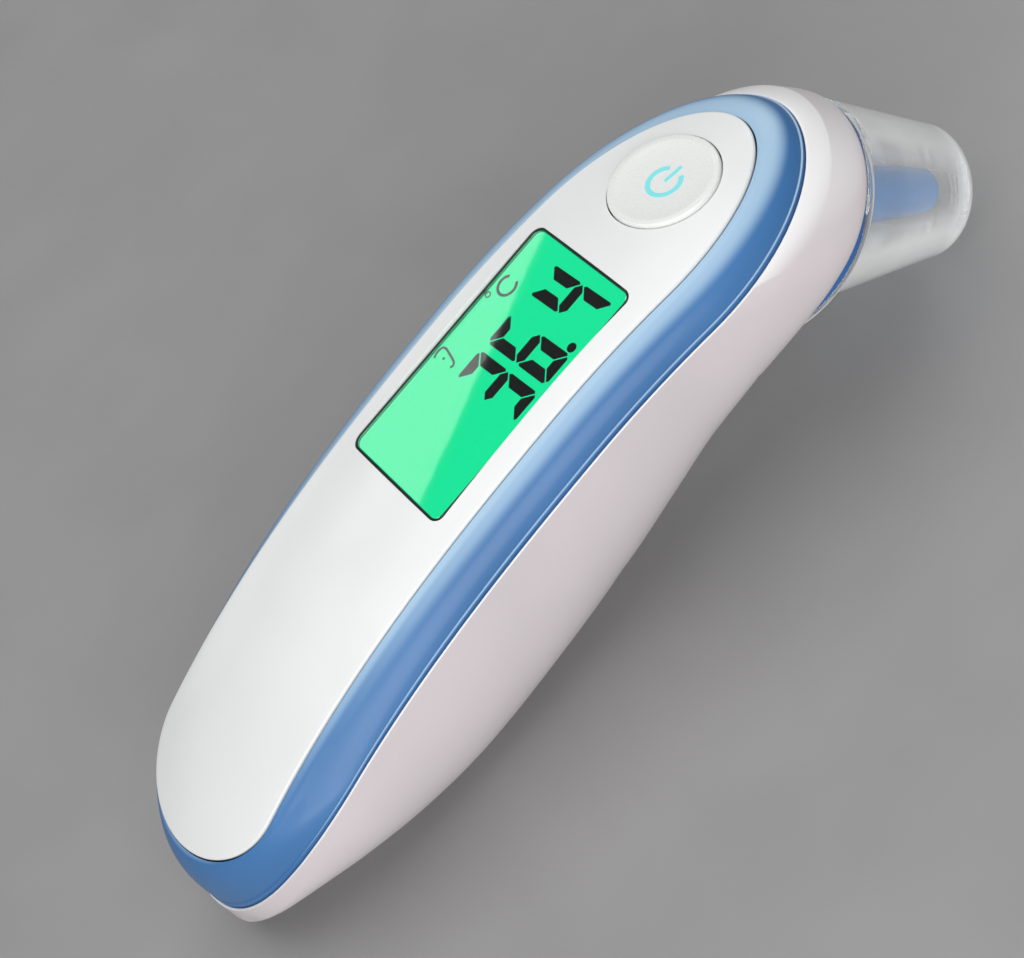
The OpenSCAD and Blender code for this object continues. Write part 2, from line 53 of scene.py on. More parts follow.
# %% [markdown]
# The casing is easiest to describe with the handle level: X across, Y towards the head and Z out of the
# display, with the display's centre at the origin. The thermometer lies tilted on its back, so one matrix
# takes that handle frame to the row's frame. The battery door lifts straight out of the back, so its
# joint's axis gives the tilt.

# %% Handle frame
door_axis = next(joint["axis"] for joint in frame["joints"] if joint["name"] == "door_lift")
REST_TILT = math.atan2(door_axis[1], -door_axis[2])
REST_SHIFT = (0, 2.764, 46.174)  # where the display's centre ends up, in mm
to_row = (Matrix.Translation(Vector(REST_SHIFT) * MM) @ Matrix.Rotation(REST_TILT, 4, "X")
          @ Matrix.Scale(MM, 4))
print("tilt at rest:", round(math.degrees(REST_TILT), 2), "degrees")


def put(name, vertices, faces, body, nodes=(), slot=None, smooth=True):
    """A mesh piece from points in the handle frame, in mm, that rides on a body and stands for CAD nodes."""
    mesh = bpy.data.meshes.new(name)
    mesh.from_pydata([to_row @ Vector(v) for v in vertices], [], faces)
    bm = bmesh.new()
    bm.from_mesh(mesh)
    bmesh.ops.remove_doubles(bm, verts=bm.verts, dist=0.002 * MM)
    bmesh.ops.dissolve_degenerate(bm, edges=bm.edges, dist=0.001 * MM)
    bmesh.ops.recalc_face_normals(bm, faces=bm.faces)
    bm.to_mesh(mesh)
    bm.free()
    mesh.shade_smooth() if smooth else mesh.shade_flat()
    piece = bpy.data.objects.new(name, mesh)
    bpy.context.scene.collection.objects.link(piece)
    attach(piece, body)
    if nodes:
        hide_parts(*nodes)
    return piece


# %% [markdown]
# An outline ring is a straight-sided oval that follows the bent, slightly crowned face and drops below it.
# Each row of numbers says half width, lower end length, upper end length, lowest and highest place on the
# handle, and the drop at the sides, the bottom and the top.

# %% Outline rings
BODY_W, LOWER_LEN, UPPER_LEN = 40.8, 85.2, 57.0
ARCH_LOW, ARCH_TOP, CROWN = 11.0, 7.2, 0.0072
RIM_W, BAND_W, SEAM = 0.6, 5.2, 0.2
BAND_FALL, PANEL_T, WALL = 4.5, 1.8, 2.0
half_w = BODY_W / 2
panel_half = half_w - RIM_W - BAND_W
RINGS = {
    "panel": (panel_half + 0.14, 13, 25.6, -LOWER_LEN + 6.06, UPPER_LEN - 8.26, 0, 0, 0),
    "band_in": (panel_half + SEAM, 13, 25.6, -LOWER_LEN + 6, UPPER_LEN - 8.2, 0.5, 0.45, 0.6),
    "band_out": (half_w - RIM_W, 30, 31, -LOWER_LEN + 1.2, UPPER_LEN - 3, BAND_FALL, 10.5, 2.6),
    "rim_in": (half_w - RIM_W + SEAM, 30, 31, -LOWER_LEN + 1, UPPER_LEN - 2.8, BAND_FALL, 10.6, 2.6),
    "crease": (half_w, 31, 28, -LOWER_LEN, UPPER_LEN, 7, 14.5, 3.2),
}


def arch(y):
    """Height of the front line of the handle."""
    return np.where(y < 0, -ARCH_LOW * np.abs(y / 75) ** 2.6, -ARCH_TOP * (y / 47) ** 2)


def face_z(x, y):
    return arch(y) - CROWN * x * x


OPEN_TILT, OPEN_R = math.radians(76), 18.7
OPEN_MID = np.array([0, UPPER_LEN - 15.6, -23.4])
OPEN_UP = np.array([0, math.sin(OPEN_TILT), math.cos(OPEN_TILT)])
OPEN_OUT = np.array([0, math.cos(OPEN_TILT), -math.sin(OPEN_TILT)])
NECK = OPEN_MID - OPEN_R * OPEN_UP

END_STEPS, LOW_STEPS, NECK_STEPS = 28, 44, 12
side_low = RINGS["crease"][3] + RINGS["crease"][1]
side_top = RINGS["crease"][4] - RINGS["crease"][2]
neck_share = (NECK[1] - side_low) / (side_top - side_low)


def stations():
    """Steps up the right half of a ring: width factor, end factor, share of the straight side."""
    end = np.radians(np.linspace(0, 90, END_STEPS + 1))
    low = [(math.sin(a), -math.cos(a), 0) for a in end]
    side = [(1, 0, neck_share * i / LOW_STEPS) for i in range(1, LOW_STEPS + 1)]
    neck = [(1, 0, neck_share + (1 - neck_share) * i / NECK_STEPS) for i in range(1, NECK_STEPS + 1)]
    top = [(math.cos(a), math.sin(a), 1) for a in end[1:]]
    return np.array(low + side + neck + top, float)


ST = stations()
NECK_STATION = END_STEPS + LOW_STEPS


def ring_y(ring):
    w, low_end, high_end, low, high = ring[:5]
    low_y, high_y = low + low_end, high - high_end
    up = low_y + (high_y - low_y) * ST[:, 2] + high_end * ST[:, 1]
    return np.where(ST[:, 1] < 0, low_y + low_end * ST[:, 1], up)


def ring_points(ring):
    """Points of the right half of a ring, from the lower tip to the top."""
    x, y, e = ring[0] * ST[:, 0], ring_y(ring), ST[:, 1] ** 2
    drop = ring[5] + (np.where(ST[:, 1] < 0, ring[6], ring[7]) - ring[5]) * e
    return np.stack([x, y, face_z(x, y) - drop], 1)


def mirrored(points):
    return points * np.array([-1, 1, 1])


def loop(half):
    """A closed loop of rows: the right side upwards, then the left side downwards."""
    return np.concatenate([half, mirrored(half[-2:0:-1])])


def grid_faces(rows, columns, close_rows=True, close_columns=False):
    """Quads over a grid of points, closed round its rows or its columns where asked."""
    faces = []
    for i in range(rows if close_rows else rows - 1):
        for j in range(columns if close_columns else columns - 1):
            i2, j2 = (i + 1) % rows, (j + 1) % columns
            faces.append((i * columns + j, i2 * columns + j, i2 * columns + j2, i * columns + j2))
    return faces


print("stations on each side:", len(ST))

# %% [markdown]
# A profile along each station turns the rings into shells. A profile is a list of curves that lie between
# two rings, so a bead, a groove or a rounded edge is the same all the way round.


# %% Profiles
def outward(ring):
    """Unit vectors across a ring at each station, out of the ring and level with the face."""
    points = ring_points(ring)
    along = np.gradient(points, axis=0)
    along[0], along[-1] = [1, 0, 0], [-1, 0, 0]
    along /= np.linalg.norm(along, axis=1)[:, None]
    normal = face_normal(points)
    out = np.cross(along, normal)
    return out / np.linalg.norm(out, axis=1)[:, None], normal


def face_normal(points):
    """Unit normals of the crowned face above each point."""
    x, y = points[:, 0], points[:, 1]
    step = 0.01
    dx, dy = -2 * CROWN * x, (arch(y + step) - arch(y - step)) / (2 * step)
    normal = np.stack([-dx, -dy, np.ones_like(x)], 1)
    return normal / np.linalg.norm(normal, axis=1)[:, None]


def swept(ring, profile):
    """Rows of points that carry a flat profile of (outward, up) pairs round a ring."""
    base = ring_points(ring)
    out, normal = outward(ring)
    rows = [base + out * p[0] + normal * p[1] for p in profile]
    half = np.stack(rows, 1)
    half[0, :, 0] = 0
    half[-1, :, 0] = 0
    return half


def arc(centre, radius, start, stop, steps):
    """Points of an arc in a profile, with angles in degrees."""
    angles = np.radians(np.linspace(start, stop, steps + 1))
    return [(centre[0] + radius * math.cos(a), centre[1] + radius * math.sin(a)) for a in angles]


# %% [markdown]
# ## Finishes
# One function turns sRGB hex into linear colour, and one adds a node with its settings and links.
# Moulded plastic is never quite flat: a faint waviness from shrinkage and a fine roughness from the mould
# break up its reflections. Both patterns are sized in millimetres.


# %% Material helpers
def colour(code):
    """Linear colour with alpha from an sRGB hex code."""
    parts = [int(code[i : i + 2], 16) / 255 for i in (1, 3, 5)]
    return (*[c / 12.92 if c <= 0.04045 else ((c + 0.055) / 1.055) ** 2.4 for c in parts], 1)


def node(tree, kind, settings=None, **links):
    """Adds one node. settings are its properties and socket values; links are sockets that feed it."""
    made = tree.nodes.new("ShaderNode" + kind)
    for key, value in (settings or {}).items():
        if key in made.inputs:
            made.inputs[key].default_value = value
        else:
            setattr(made, key, value)
    for key, socket in links.items():
        tree.links.new(socket, made.inputs[key.replace("_", " ")])
    return made


def blank(name):
    """A new material with an empty tree and its output node."""
    material = bpy.data.materials.new(name)
    material.use_nodes = True
    material.node_tree.nodes.clear()
    return material, material.node_tree, node(material.node_tree, "OutputMaterial")


def per_mm(size):
    """Texture scale that makes a pattern's features this many millimetres wide."""
    return 1 / (size * MM)


def moulded(name, base, shade, roughness, grain_mm=0.35, depth=0.02, coat=0.0, **sockets):
    """Injection-moulded plastic: two close colours in slow drifts, a fine mould grain and shrinkage waves."""
    material, tree, output = blank(name)
    place = node(tree, "TexCoord").outputs["Object"]
    drift = node(tree, "TexNoise", {"Scale": per_mm(28), "Detail": 2}, Vector=place)
    tint = node(tree, "ValToRGB", None, Fac=drift.outputs["Fac"])
    tint.color_ramp.elements[0].position, tint.color_ramp.elements[1].position = 0.35, 0.65
    tint.color_ramp.elements[0].color, tint.color_ramp.elements[1].color = colour(shade), colour(base)
    grain = node(tree, "TexNoise", {"Scale": per_mm(grain_mm), "Detail": 3}, Vector=place)
    rough = node(tree, "MapRange", {"To Min": roughness * 0.85, "To Max": roughness * 1.15},
                 Value=grain.outputs["Fac"])
    waves = node(tree, "TexNoise", {"Scale": per_mm(14), "Detail": 1}, Vector=place)
    wavy = node(tree, "Bump", {"Strength": 0.25, "Distance": 0.02 * MM}, Height=waves.outputs["Fac"])
    bump = node(tree, "Bump", {"Strength": 0.3, "Distance": depth * MM}, Height=grain.outputs["Fac"],
                Normal=wavy.outputs["Normal"])
    settings = {"IOR": 1.5, "Coat Weight": coat, "Coat Roughness": 0.04}
    settings.update({key.replace("_", " "): value for key, value in sockets.items()})
    shader = node(tree, "BsdfPrincipled", settings, Base_Color=tint.outputs["Color"],
                  Roughness=rough.outputs["Result"], Normal=bump.outputs["Normal"])
    tree.links.new(shader.outputs["BSDF"], output.inputs["Surface"])
    return material


# %% Plastics of the casing
shell_white = moulded("white_abs_shell", "#e4dbdd", "#ddd5d7", 0.32, coat=0.15)
panel_white = moulded("white_abs_panel", "#f1f3f2", "#eceeed", 0.3, coat=0.15)
button_white = moulded("white_abs_button", "#f2f4f1", "#eef0ed", 0.28, coat=0.3)
band_blue = moulded("blue_gloss_abs_band", "#4479b2", "#3d72aa", 0.4, coat=0.08)


def paler_upwards(material, pale, start, full):
    """Lightens a finish where its surface turns up in the row frame, to stand in for light from above."""
    tree = material.node_tree
    shader = next(n for n in tree.nodes if n.type == "BSDF_PRINCIPLED")
    base = shader.inputs["Base Color"].links[0].from_socket
    up = node(tree, "SeparateXYZ", None, Vector=node(tree, "TexCoord").outputs["Normal"]).outputs["Z"]
    share = node(tree, "MapRange", {"interpolation_type": "SMOOTHSTEP", "From Min": start, "From Max": full},
                 Value=up)
    mix = node(tree, "MixRGB", {"Color2": colour(pale)}, Fac=share.outputs["Result"], Color1=base)
    tree.links.new(mix.outputs["Color"], shader.inputs["Base Color"])


# Painted highlight: the band turns pale blue where it faces up, standing in for light from above.
paler_upwards(band_blue, "#a9cae4", 0.7, 0.98)
# Painted light: the shell is painted near white where it faces up, over a darker, pinker base white.
paler_upwards(shell_white, "#fbfafa", 0.35, 0.75)
collar_blue = moulded("blue_gloss_abs_collar", "#2f6ab0", "#2a62a6", 0.2, coat=0.5)
nose_blue = moulded("blue_gloss_abs_nose", "#568bc2", "#4d81b9", 0.16, coat=0.8)
inner_white = moulded("white_abs_inner", "#e4e4e2", "#dadad8", 0.45)

# %% [markdown]
# The cap is clear polycarbonate with thick walls, moulded with a faint milkiness, so it bends light. The
# window is thin clear acrylic. Each has real walls and one index of refraction. White plastic is mixed in: a
# faint haze where a wall is seen square on, and where a wall is seen edge on, mostly painted white that
# stands in for bright surroundings seen through the thick wall, so the cap's edges show white.


# %% Clear plastics
def clear(name, tint, ior, haze, edge_painted_white, roughness=0.02):
    """Clear plastic that refracts, with a faint haze seen square on and painted white seen edge on, and lets
    light reach what it covers.
    """
    material, tree, output = blank(name)
    place = node(tree, "TexCoord").outputs["Object"]
    cloud = node(tree, "TexNoise", {"Scale": per_mm(9), "Detail": 2}, Vector=place)
    drift = node(tree, "MapRange", {"To Min": 0.85, "To Max": 1.15}, Value=cloud.outputs["Fac"])
    # Painted light: where a wall is seen edge on, the surface is mixed mostly to white, standing in for
    # bright surroundings seen through the thick wall.
    edge = node(tree, "LayerWeight", {"Blend": 0.5}).outputs["Facing"]
    share = node(tree, "MapRange", {"interpolation_type": "SMOOTHSTEP", "From Min": 0.4, "From Max": 0.6,
                 "To Min": haze, "To Max": edge_painted_white}, Value=edge)
    haze_and_painted_white_share = node(tree, "Math", {"operation": "MULTIPLY"})
    tree.links.new(share.outputs["Result"], haze_and_painted_white_share.inputs[0])
    tree.links.new(drift.outputs["Result"], haze_and_painted_white_share.inputs[1])
    waves = node(tree, "TexNoise", {"Scale": per_mm(6), "Detail": 1}, Vector=place)
    bump = node(tree, "Bump", {"Strength": 0.2, "Distance": 0.01 * MM}, Height=waves.outputs["Fac"])
    body = node(tree, "BsdfPrincipled", {"Base Color": colour(tint), "Roughness": roughness, "IOR": ior,
                "Transmission Weight": 1.0}, Normal=bump.outputs["Normal"])
    haze_and_painted_white = node(tree, "BsdfPrincipled", {"Base Color": colour("#ffffff"), "Roughness": 0.2, "IOR": ior,
                "Coat Weight": 0.5}, Normal=bump.outputs["Normal"])
    mix = node(tree, "MixShader", None, Fac=haze_and_painted_white_share.outputs["Value"])
    tree.links.new(body.outputs["BSDF"], mix.inputs[1])
    tree.links.new(haze_and_painted_white.outputs["BSDF"], mix.inputs[2])
    passing = node(tree, "BsdfTransparent", {"Color": colour("#eef2f2")})
    shade = node(tree, "MixShader", None, Fac=node(tree, "LightPath").outputs["Is Shadow Ray"])
    tree.links.new(mix.outputs["Shader"], shade.inputs[1])
    tree.links.new(passing.outputs["BSDF"], shade.inputs[2])
    tree.links.new(shade.outputs["Shader"], output.inputs["Surface"])
    return material


# The cap is painted white where its walls are seen edge on, standing in for bright surroundings seen through
# them.
cap_clear = clear("clear_polycarbonate_cap", "#feffff", 1.4, 0.02, 0.9)
window_clear = clear("clear_acrylic_window", "#ffffff", 1.45, 0.0, 0.0)


# %% [markdown]
# The display is a lit panel: a green light guide shines through the liquid crystal. Its glow is almost
# even, with faint, slow clouds.


# %% Display materials
def lit(name, bright, dim, strength):
    """Backlit liquid crystal: an even glow with soft, faint clouds."""
    material, tree, output = blank(name)
    place = node(tree, "TexCoord").outputs["Object"]
    cloud = node(tree, "TexNoise", {"Scale": per_mm(30), "Detail": 1}, Vector=place)
    ramp = node(tree, "ValToRGB", None, Fac=cloud.outputs["Fac"])
    ramp.color_ramp.elements[0].position, ramp.color_ramp.elements[1].position = 0.3, 0.7
    ramp.color_ramp.elements[0].color, ramp.color_ramp.elements[1].color = colour(dim), colour(bright)
    shader = node(tree, "BsdfPrincipled", {"Base Color": colour("#05140e"), "Roughness": 0.6,
                                           "Specular IOR Level": 0.0,
                  "Emission Strength": strength}, Emission_Color=ramp.outputs["Color"])
    tree.links.new(shader.outputs["BSDF"], output.inputs["Surface"])
    return material


lcd_green = lit("lit_liquid_crystal", "#08ec9f", "#06e89a", 1.04)
segment_black = moulded("liquid_crystal_figure", "#020302", "#040505", 0.6, Specular_IOR_Level=0.05)
mark_grey = moulded("printed_display_mark", "#0b120f", "#090f0c", 0.6, Specular_IOR_Level=0.05)
gasket_black = moulded("black_printed_border", "#101011", "#0b0b0c", 0.35)
symbol_cyan = moulded("printed_cyan_mark", "#8df1f2", "#84eaf0", 0.4)
lens_dark = moulded("infrared_window", "#1b1b20", "#16161a", 0.12, coat=0.6)
metal_steel = moulded("nickel_plated_steel", "#c4c5c7", "#b9bbbe", 0.3, Metallic=1.0)
metal_gold = moulded("gold_plated_tube", "#d9b45a", "#cfa94e", 0.25, Metallic=1.0)
board_green = moulded("solder_mask_green", "#1d5a3a", "#184f33", 0.35, coat=0.3)
cell_jacket = moulded("printed_cell_jacket", "#2f8f68", "#2a8560", 0.3, coat=0.4)
chip_black = moulded("moulded_epoxy_black", "#1e1e20", "#19191b", 0.5)
ribbon_amber = moulded("polyimide_ribbon", "#b5702a", "#a96724", 0.35, coat=0.3)
print("materials:", len(bpy.data.materials))


def dress(piece, *materials):
    """Gives a piece its finishes, one for each material index."""
    piece.data.materials.clear()
    for material in materials:
        piece.data.materials.append(material)
    return piece


def sharpen(piece, angle=35):
    """Keeps edges crisp where two faces meet at more than this many degrees."""
    piece.data.set_sharp_from_angle(angle=math.radians(angle))


# %% [markdown]
# ## Rear shell
# The rear shell is one thick moulding. Its rim is a narrow white land beside the band, a soft crease
# follows, and from there a superellipse runs round to the back line, or to the round opening of the head.
# Near the neck the curve gets squarer, which pulls the sides in under the head.


# %% Wall of the shell
BACK_LINE = [(-83.5, -29.5), (-72.2, -30.2), (-62.2, -34.5), (-50.2, -39.3), (-40.2, -41), (-25.2, -40.3),
             (-10, -38), (3, -33.5), (13, NECK[2] - 1.8), (NECK[1], NECK[2])]
SQUARENESS = [(-85.2, 2.2), (-45, 2.5), (-10, 2.7), (3, 3.2), (13, 3.7), (NECK[1], 4.4)]


def smooth_line(points, y):
    """A smooth curve through (place, value) points, sampled at y."""
    places, values = np.array(points).T
    slopes = np.gradient(values, places)
    slopes[1:-1] = (values[2:] - values[:-2]) / (places[2:] - places[:-2])
    i = np.clip(np.searchsorted(places, y) - 1, 0, len(places) - 2)
    h = places[i + 1] - places[i]
    t = (y - places[i]) / h
    return ((2 * t**3 - 3 * t**2 + 1) * values[i] + (t**3 - 2 * t**2 + t) * h * slopes[i]
            + (3 * t**2 - 2 * t**3) * values[i + 1] + (t**3 - t**2) * h * slopes[i + 1])


def open_point(radius, angle, height=0.0):
    across = radius * np.array([math.cos(angle), 0, 0])
    return OPEN_MID + across + radius * math.sin(angle) * OPEN_UP + height * OPEN_OUT


def open_angle(i):
    """Angle round the head's opening that belongs to a station at or above the neck."""
    y = ring_y(RINGS["crease"])[i]
    if ST[i, 1] > 0:
        return math.atan2(ST[i, 1], ST[i, 0])
    return -math.pi / 2 * (side_top - y) / (side_top - NECK[1])


def wall_rows(ring, inset, lip, steps):
    """Rows of the side wall from a ring at v = 0 to the back line or the opening at v = 90 degrees."""
    start, y = ring_points(ring), ring_y(RINGS["crease"])
    low = -LOWER_LEN + 1.7
    v = np.radians(np.linspace(0, 90, steps + 1))
    rows = []
    for i in range(len(ST)):
        power = np.interp(y[i], *np.array(SQUARENESS).T)
        if i >= NECK_STATION:
            end = open_point(OPEN_R - inset, open_angle(i), -lip)
            power = 2.2 if ST[i, 1] > 0 else 2.2 + 2.2 * (side_top - y[i]) / (side_top - NECK[1])
        else:
            back = low + (NECK[1] - low) * (y[i] + LOWER_LEN) / (NECK[1] + LOWER_LEN)
            tip, neck = max(0, 1 - (back - low) / 10), max(0, 1 - (NECK[1] - back) / 8)
            end = np.array([0, back + inset * (tip + neck * math.sin(OPEN_TILT)),
                            smooth_line(BACK_LINE, back) + inset * (1 - neck * (1 - math.cos(OPEN_TILT)))])
            end = end - lip * neck * OPEN_OUT
        c, k = np.abs(np.cos(v)) ** (2 / power), 1 - np.abs(np.sin(v)) ** (2 / power)
        scale = np.stack([c, k, k], 1)
        rows.append(end + (start[i] - end) * scale)
    return np.array(rows)


# %% Rim, wall and lip of the shell
RIM_ROUND, LIP_ROUND, WALL_STEPS = 0.25, 0.4, 40
crease = RINGS["crease"]
inner = (half_w - WALL, 30, 27, -LOWER_LEN + WALL, UPPER_LEN - WALL, 7, 14.5, 5.4)
ledge = (*inner[:5], 6.3, 12.6, 4.6)
rim_in = ring_points(RINGS["rim_in"])
out, up = outward(RINGS["rim_in"])
outer_wall = wall_rows(crease, 0, LIP_ROUND, WALL_STEPS)
inner_wall = wall_rows(inner, WALL, 0, 12)
rim_top = [rim_in - up * 1.8, rim_in - up * RIM_ROUND]
for angle in (135, 90, 60):
    a = math.radians(angle)
    rim_top.append(rim_in + out * RIM_ROUND * (1 + math.cos(a)) - up * RIM_ROUND * (1 - math.sin(a)))
shell_half = np.concatenate([np.stack(rim_top, 1), outer_wall], 1)
shell_half[0, :, 0] = shell_half[-1, :, 0] = 0
inner_half = np.concatenate([inner_wall[:, ::-1], ring_points(ledge)[:, None]], 1)
inner_half[0, :, 0] = inner_half[-1, :, 0] = 0


def shell_mesh():
    """Closed mesh of the shell: outside, lip, inside and ledge, for both sides."""
    outside, inside = loop(shell_half), loop(inner_half)
    vertices, faces = list(outside.reshape(-1, 3)), []
    n, m = outside.shape[:2]
    faces += grid_faces(n, m)
    base = len(vertices)
    vertices += list(inside.reshape(-1, 3))
    mi = inside.shape[1]
    faces += [tuple(base + k for k in face) for face in grid_faces(n, mi)]
    for i in range(n):
        j = (i + 1) % n
        faces.append((base + i * mi + mi - 1, base + j * mi + mi - 1, j * m, i * m))
    station = list(range(NECK_STATION, len(ST))) + list(range(len(ST) - 2, NECK_STATION - 1, -1))
    sides = [1] * (len(ST) - NECK_STATION) + [-1] * (len(ST) - 1 - NECK_STATION)
    lip_rows = []
    for k, side in zip(station, sides):
        a = open_angle(k)
        row = [outer_wall[k, -1] * [side, 1, 1]]
        for turn in (30, 60, 90):
            t = math.radians(turn)
            row.append(open_point(OPEN_R - LIP_ROUND * (1 - math.cos(t)), a,
                                  LIP_ROUND * (math.sin(t) - 1)) * [side, 1, 1])
        row.append(inner_wall[k, -1] * [side, 1, 1])
        lip_rows.append(row)
    base = len(vertices)
    count = len(lip_rows[0])
    vertices += [p for row in lip_rows for p in row]
    faces += [tuple(base + k for k in face) for face in grid_faces(len(lip_rows), count, close_rows=False)]
    return vertices, faces


shell = put("rear_shell_moulding", *shell_mesh(), "casing", ["rear_shell"], "shell_white")
print("shell:", len(shell.data.polygons), "faces")


# %% [markdown]
# Openings are cut with solid cutters, as a mould insert would form them. The cut mesh is taken from the
# evaluated object, so no modifier is left on the piece.


# %% Cutting helpers
def cut(piece, cutter, operation="DIFFERENCE"):
    """Applies one exact boolean to a piece and removes the cutter."""
    modifier = piece.modifiers.new("cut", "BOOLEAN")
    modifier.object, modifier.operation, modifier.solver = cutter, operation, "EXACT"
    bpy.context.view_layer.update()
    mesh = bpy.data.meshes.new_from_object(piece.evaluated_get(bpy.context.evaluated_depsgraph_get()))
    piece.modifiers.remove(modifier)
    piece.data = mesh
    bpy.data.objects.remove(cutter)
    return piece


def tilted(origin, angle):
    """Maps points from a level frame to one that stands at origin and is turned about X by angle."""
    place = Matrix.Translation(Vector(origin)) @ Matrix.Rotation(angle, 4, "X")
    return lambda points: [tuple(place @ Vector(p)) for p in points]


def rounded_rectangle(w, l, r, steps=8):
    """Outline of a rectangle with round corners, anticlockwise."""
    outline = []
    for x, y, start in ((1, 1, 0), (-1, 1, 90), (-1, -1, 180), (1, -1, 270)):
        for k in range(steps + 1):
            a = math.radians(start + 90 * k / steps)
            outline.append((x * (w / 2 - r) + r * math.cos(a), y * (l / 2 - r) + r * math.sin(a)))
    return outline


def prism(outline, z0, z1):
    """Vertices and faces of an upright prism."""
    n = len(outline)
    vertices = [(x, y, z) for z in (z0, z1) for x, y in outline]
    faces = [tuple(range(n - 1, -1, -1)), tuple(range(n, 2 * n))]
    faces += [(i, (i + 1) % n, n + (i + 1) % n, n + i) for i in range(n)]
    return vertices, faces


def loose(name, vertices, faces):
    """A helper mesh in the row frame that is no piece of its own, such as a cutter."""
    mesh = bpy.data.meshes.new(name)
    mesh.from_pydata([to_row @ Vector(v) for v in vertices], [], faces)
    helper = bpy.data.objects.new(name, mesh)
    bpy.context.scene.collection.objects.link(helper)
    return helper


# %% [markdown]
# ## Battery door
# The door is a patch of the same wall. It is the part of the shell inside a rounded prism, and the shell
# loses a slightly wider prism, so the skin runs on over the joint. Rows of fine ribs near its lower end
# give the thumb a grip.

# %% Battery door
DOOR_W, DOOR_LEN, DOOR_R, DOOR_GAP = 23, 48, 4, 0.2
door_mid = -LOWER_LEN + 8 + DOOR_LEN / 2


def door_prism(grow):
    outline = rounded_rectangle(DOOR_W + 2 * grow, DOOR_LEN + 2 * grow, DOOR_R + grow)
    return prism([(x, y + door_mid) for x, y in outline], -60, -22)


door = put("battery_door_moulding", *shell_mesh(), "door", ["battery_door"], "shell_white")
cut(door, loose("door_cutter", *door_prism(0)), "INTERSECT")
cut(shell, loose("door_hole", *door_prism(DOOR_GAP)))
for piece in (shell, door):
    dress(piece, shell_white)
    piece.data.shade_smooth()
    sharpen(piece, 40)
print("door:", len(door.data.polygons), "faces")

rib_w, rib_h, rib_gap = 11, 0.35, 1.3
rib_vertices, rib_faces = [], []
for k in range(6):
    y = door_mid - DOOR_LEN / 2 + 5 + rib_gap * k
    for i in range(13):
        x = rib_w * (i / 12 - 0.5)
        z = smooth_line(BACK_LINE, y) + 2.4 * (abs(x) / 20) ** 2.3
        for j in range(7):
            a = math.pi * j / 6
            rib_vertices.append((x, y + 0.4 * math.cos(a), z + 0.05 - rib_h * math.sin(a)))
    base = k * 13 * 7
    rib_faces += [tuple(base + v for v in face)
                  for face in grid_faces(13, 7, close_rows=False, close_columns=True)]
    rib_faces += [tuple(base + j for j in range(7)), tuple(base + 84 + j for j in range(7))]
ribs = dress(put("battery_door_ribs", rib_vertices, rib_faces, "door", slot="shell_white"), shell_white)
sharpen(ribs, 50)

# %% [markdown]
# ## Blue band
# The band is a closed ring in satin blue. Its section starts with a thin bead beside the
# panel, falls over a bulging slope, dips into a fine groove and ends in a rolled lip against the white rim.
# The slope is a quadratic curve between the inner and the outer outline.

# %% Band
BULGE = np.array([0.83, 0.83, 0.17])
BEAD_H, LIP_AT, GROOVE_H, LIP_H = 0.05, 0.93, 0.12, 0.16
band_a, band_b = ring_points(RINGS["band_in"]), ring_points(RINGS["band_out"])
band_c = band_a + (band_b - band_a) * BULGE
band_along = np.gradient(band_a, axis=0)
band_along[0], band_along[-1] = [1, 0, 0], [-1, 0, 0]


def band_relief(t):
    """Height of the bead, the groove and the lip above the plain slope."""
    bead = BEAD_H * math.exp(-(((t - 0.1) / 0.07) ** 2))
    groove = -GROOVE_H * math.exp(-(((t - LIP_AT) / 0.012) ** 2))
    lip = LIP_H * math.sin(math.pi * (t - LIP_AT) / (1 - LIP_AT)) if t > LIP_AT else 0
    return bead + groove + lip


def band_row(t):
    point = (1 - t) ** 2 * band_a + 2 * t * (1 - t) * band_c + t * t * band_b
    slope = 2 * (1 - t) * (band_c - band_a) + 2 * t * (band_b - band_c)
    normal = np.cross(slope, band_along)
    normal /= np.linalg.norm(normal, axis=1)[:, None]
    return point + normal * band_relief(t)


band_t = sorted(set(np.round(np.concatenate([np.linspace(0, 1, 41), np.linspace(0.8, 1, 31)]), 4)))
band_rows = [band_a - [0, 0, 1.4], band_a - [0, 0, 0.15]] + [band_row(t) for t in band_t]
band_rows += [band_b - [0, 0, 0.2], band_b - [0, 0, 1.4]]
band_half = np.stack(band_rows, 1)
band_half[0, :, 0] = band_half[-1, :, 0] = 0
band_loop = loop(band_half)
band = put("trim_band_moulding", band_loop.reshape(-1, 3), grid_faces(*band_loop.shape[:2]), "casing",
           ["trim_band"], "band_blue")
dress(band, band_blue)
sharpen(band, 50)
print("band:", len(band.data.polygons), "faces")

# %% [markdown]
# ## Front panel
# The panel is a thin crowned plate that stands half a millimetre proud of the band, with a rounded edge.
# Rows across the face make its skin, and a swept profile makes the edge and the side wall.

# %% Panel
EDGE_R, COLUMNS = 0.35, 28
edge_profile = [(-EDGE_R + p[0], -EDGE_R + p[1]) for p in arc((0, 0), EDGE_R, 90, 0, 7)]
edge_profile += [(0, -PANEL_T), (-EDGE_R, -PANEL_T)]
edge = swept(RINGS["panel"], edge_profile)
edge_loop = loop(edge)


def skin_rows(half, drop):
    """Rows from left to right between the two sides of a ring, on the face or below it."""
    share = np.linspace(-1, 1, COLUMNS + 1)
    x, y = half[:, None, 0] * share, np.repeat(half[:, None, 1], COLUMNS + 1, 1)
    return np.stack([x, y, face_z(x, y) - drop], 2)


